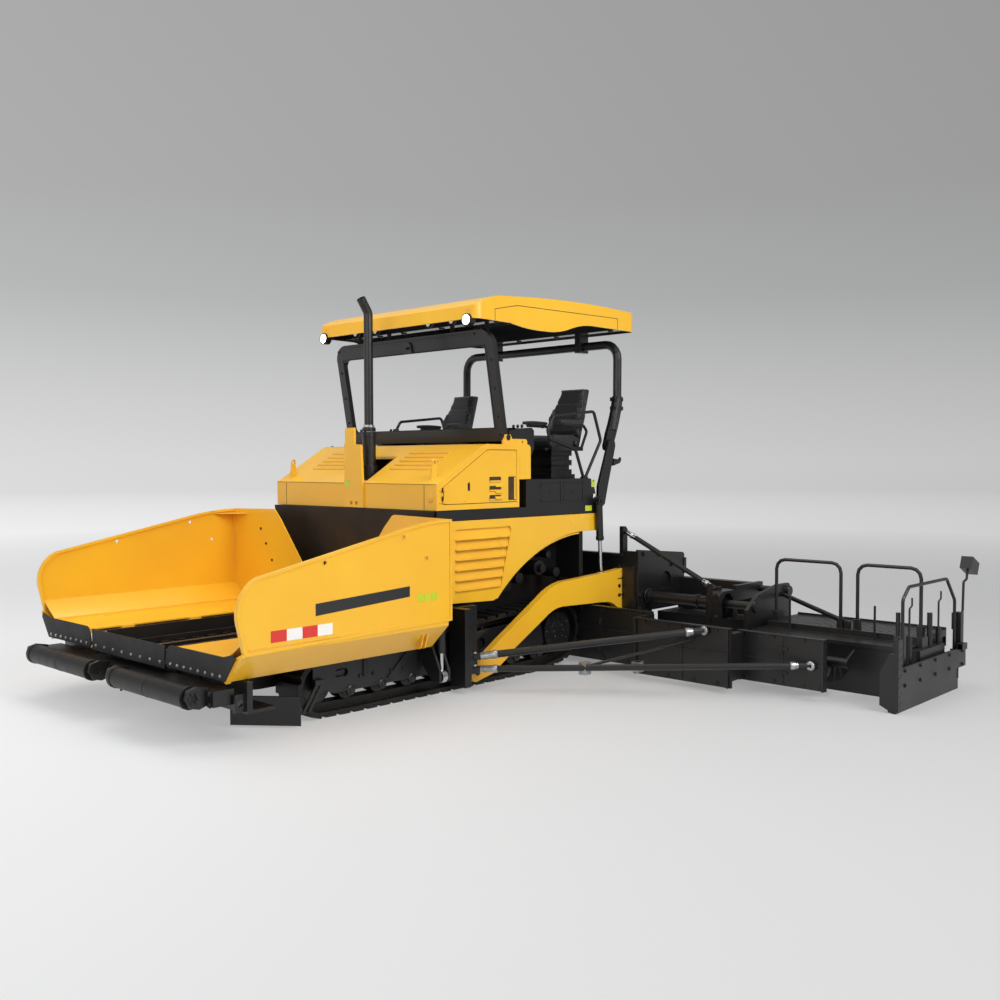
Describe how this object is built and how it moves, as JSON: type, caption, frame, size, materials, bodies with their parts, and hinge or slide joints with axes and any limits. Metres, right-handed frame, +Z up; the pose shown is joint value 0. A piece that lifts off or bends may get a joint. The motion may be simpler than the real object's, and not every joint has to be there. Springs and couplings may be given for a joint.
{
  "type": "tracked asphalt paver",
  "caption": "Tracked road paver with folding hopper wings, push rollers, slat conveyors, augers, folding canopy and wide floating screed.",
  "frame": {"origin": "on the ground, in the middle of the width and of the overall length", "axes": "+Z up, -Y ahead towards the hopper, +X the machine left side"},
  "size_m": [9.596, 6.8094, 3.869],
  "materials": {
    "yellow paint": "gloss",
    "charcoal paint": "satin",
    "worn steel": "worn",
    "chrome rod": "polished",
    "engine iron": "rough",
    "seat vinyl": "matt"
  },
  "bodies": {
    "machine": {"chassis": "charcoal paint", "conveyor": "worn steel", "push_beam": "charcoal paint", "hopper_apron": "charcoal paint", "hopper_rear_wall": "charcoal paint", "platform": "charcoal paint", "hood": "yellow paint", "engine": "engine iron", "seats": "charcoal paint", "seat_cushions": "seat vinyl", "platform_rails": "charcoal paint", "exhaust_base": "charcoal paint", "auger_drive": "charcoal paint", "side_panels": "yellow paint", "channel_plates": "charcoal paint", "track_frames": "charcoal paint", "track_left": "worn steel", "track_right": "worn steel"},
    "screed_unit": {"screed_frame": "charcoal paint", "screed_box": "charcoal paint", "tow_arms": "yellow paint"},
    "exhaust_stack": {"exhaust_stack": "charcoal paint"},
    "canopy_hoop": {"canopy_rear_hoop": "charcoal paint"},
    "canopy_roof": {"canopy_roof": "yellow paint"},
    "canopy_front": {"canopy_front_frame": "charcoal paint"},
    "wing_left": {"hopper_wing_left": "yellow paint"},
    "wing_barrel_left": {"wing_barrel_left": "charcoal paint"},
    "wing_rod_left": {"wing_rod_left": "chrome rod"},
    "push_roller_left": {"push_roller_left": "charcoal paint"},
    "auger_left": {"auger_left": "worn steel"},
    "extension_left": {"extension_left": "charcoal paint", "end_gate_left": "charcoal paint"},
    "lift_barrel_left": {"lift_barrel_left": "charcoal paint"},
    "lift_rod_left": {"lift_rod_left": "chrome rod"},
    "hood_door_left": {"hood_door_left": "yellow paint"},
    "wing_right": {"hopper_wing_right": "yellow paint"},
    "wing_barrel_right": {"wing_barrel_right": "charcoal paint"},
    "wing_rod_right": {"wing_rod_right": "chrome rod"},
    "push_roller_right": {"push_roller_right": "charcoal paint"},
    "auger_right": {"auger_right": "worn steel"},
    "extension_right": {"extension_right": "charcoal paint", "end_gate_right": "charcoal paint"},
    "lift_barrel_right": {"lift_barrel_right": "charcoal paint"},
    "lift_rod_right": {"lift_rod_right": "chrome rod"},
    "hood_door_right": {"hood_door_right": "yellow paint"}
  },
  "joints": [
    {"name": "wing_fold_left", "type": "hinge", "parent": "machine", "child": "wing_left", "pos_m": [0.69, -1.95, 0.61], "axis": [0, -1, 0], "range_deg": [0, 45]},
    {"name": "wing_barrel_swing_left", "type": "hinge", "parent": "wing_left", "child": "wing_barrel_left", "pos_m": [1.48, -0.845, 1.15], "axis": [0, -1, 0], "range_deg": [-20.6, 0]},
    {"name": "wing_rod_slide_left", "type": "slide", "parent": "wing_barrel_left", "child": "wing_rod_left", "axis": [0, 0, -1], "range_m": [0, 0.555]},
    {"name": "push_roller_spin_left", "type": "hinge", "parent": "machine", "child": "push_roller_left", "pos_m": [0.8, -3.315, 0.405], "axis": [1, 0, 0], "continuous": true},
    {"name": "auger_spin_left", "type": "hinge", "parent": "machine", "child": "auger_left", "pos_m": [1, 1.65, 0.33], "axis": [1, 0, 0], "continuous": true},
    {"name": "extension_slide_left", "type": "slide", "parent": "screed_unit", "child": "extension_left", "axis": [1, 0, 0], "range_m": [-0.27, 0]},
    {"name": "lift_barrel_swing_left", "type": "hinge", "parent": "machine", "child": "lift_barrel_left", "pos_m": [1.315, 1.68, 1.74], "axis": [1, 0, 0], "range_deg": [-14.2, 0]},
    {"name": "lift_rod_slide_left", "type": "slide", "parent": "lift_barrel_left", "child": "lift_rod_left", "axis": [0, 0.0476, -0.9989], "range_m": [-0.345, 0]},
    {"name": "hood_door_swing_left", "type": "hinge", "parent": "machine", "child": "hood_door_left", "pos_m": [1.281, -0.622, 1.85], "axis": [0, 0, -1], "range_deg": [0, 100]},
    {"name": "wing_fold_right", "type": "hinge", "parent": "machine", "child": "wing_right", "pos_m": [-0.69, -1.95, 0.61], "axis": [0, 1, 0], "range_deg": [0, 45]},
    {"name": "wing_barrel_swing_right", "type": "hinge", "parent": "wing_right", "child": "wing_barrel_right", "pos_m": [-1.48, -0.845, 1.15], "axis": [0, 1, 0], "range_deg": [-20.6, 0]},
    {"name": "wing_rod_slide_right", "type": "slide", "parent": "wing_barrel_right", "child": "wing_rod_right", "axis": [0, 0, -1], "range_m": [0, 0.555]},
    {"name": "push_roller_spin_right", "type": "hinge", "parent": "machine", "child": "push_roller_right", "pos_m": [-0.8, -3.315, 0.405], "axis": [1, 0, 0], "continuous": true},
    {"name": "auger_spin_right", "type": "hinge", "parent": "machine", "child": "auger_right", "pos_m": [-1, 1.65, 0.33], "axis": [1, 0, 0], "continuous": true},
    {"name": "extension_slide_right", "type": "slide", "parent": "screed_unit", "child": "extension_right", "axis": [-1, 0, 0], "range_m": [-0.27, 0]},
    {"name": "lift_barrel_swing_right", "type": "hinge", "parent": "machine", "child": "lift_barrel_right", "pos_m": [-1.315, 1.68, 1.74], "axis": [1, 0, 0], "range_deg": [-14.2, 0]},
    {"name": "lift_rod_slide_right", "type": "slide", "parent": "lift_barrel_right", "child": "lift_rod_right", "axis": [0, 0.0476, -0.9989], "range_m": [-0.345, 0]},
    {"name": "hood_door_swing_right", "type": "hinge", "parent": "machine", "child": "hood_door_right", "pos_m": [-1.281, -0.622, 1.85], "axis": [0, 0, 1], "range_deg": [0, 100]},
    {"name": "screed_lift", "type": "hinge", "parent": "machine", "child": "screed_unit", "pos_m": [0, -0.34, 0.17], "axis": [1, 0, 0], "range_deg": [0, 10]},
    {"name": "exhaust_tip", "type": "hinge", "parent": "machine", "child": "exhaust_stack", "pos_m": [-0.095, -0.45, 2.49], "axis": [0, -1, 0], "range_deg": [0, 88]},
    {"name": "canopy_fold", "type": "hinge", "parent": "machine", "child": "canopy_hoop", "pos_m": [1.2, 1.975, 2.35], "axis": [-1, 0, 0], "range_deg": [0, 50]},
    {"name": "canopy_roof_hinge", "type": "hinge", "parent": "canopy_hoop", "child": "canopy_roof", "pos_m": [0, 2.165, 3.49], "axis": [-1, 0, 0], "range_deg": [-43.6, 0]},
    {"name": "canopy_front_hinge", "type": "hinge", "parent": "canopy_roof", "child": "canopy_front", "pos_m": [0, 0.215, 3.44], "axis": [-1, 0, 0], "range_deg": [0, 44.6]}
  ],
  "couplings": [
    {"joint": "wing_barrel_swing_left", "follows": "wing_fold_left", "ratio": -0.44921},
    {"joint": "wing_rod_slide_left", "follows": "wing_fold_left", "m_per_rad": 0.70089},
    {"joint": "lift_barrel_swing_left", "follows": "screed_lift", "ratio": -1.3976},
    {"joint": "lift_rod_slide_left", "follows": "screed_lift", "m_per_rad": -1.9448},
    {"joint": "wing_barrel_swing_right", "follows": "wing_fold_right", "ratio": -0.44921},
    {"joint": "wing_rod_slide_right", "follows": "wing_fold_right", "m_per_rad": 0.70089},
    {"joint": "lift_barrel_swing_right", "follows": "screed_lift", "ratio": -1.3976},
    {"joint": "lift_rod_slide_right", "follows": "screed_lift", "m_per_rad": -1.9448},
    {"joint": "canopy_roof_hinge", "follows": "canopy_fold", "ratio": -0.8632},
    {"joint": "canopy_front_hinge", "follows": "canopy_fold", "ratio": 0.88267}
  ]
}
